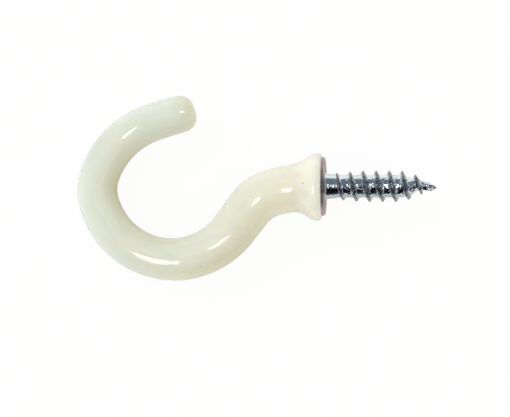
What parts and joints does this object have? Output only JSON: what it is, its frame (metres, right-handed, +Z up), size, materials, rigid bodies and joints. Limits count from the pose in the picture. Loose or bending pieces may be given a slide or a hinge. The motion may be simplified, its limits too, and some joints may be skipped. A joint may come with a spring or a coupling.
{
  "type": "screw hook",
  "caption": "Vinyl-coated cup hook: bent steel wire with a wood-screw thread and gimlet point, a round collar that seats on the wood, and an open hooked end for hanging things.",
  "frame": {"origin": "middle of the collar's seat, on the screw's axis, where the hook meets the wood it is screwed into", "axes": "+X towards the screw's tip, which rises 3.5 degrees from level; +Y towards the open side of the hook; +Z up from the surface on which the hook lies on its side"},
  "size_m": [0.0465, 0.0239, 0.0088],
  "materials": {
    "plated_wire": "zinc-plated steel wire, bright, fine-grained, thread rolled",
    "plated_collar": "zinc-plated steel stamping with a rounded rim, duller than the wire",
    "vinyl": "soft ivory vinyl dip coat, glossy, slightly translucent, faintly uneven"
  },
  "bodies": {
    "root": {"hook_wire": "plated_wire", "collar": "plated_collar", "vinyl_jacket": "vinyl"}
  },
  "joints": []
}
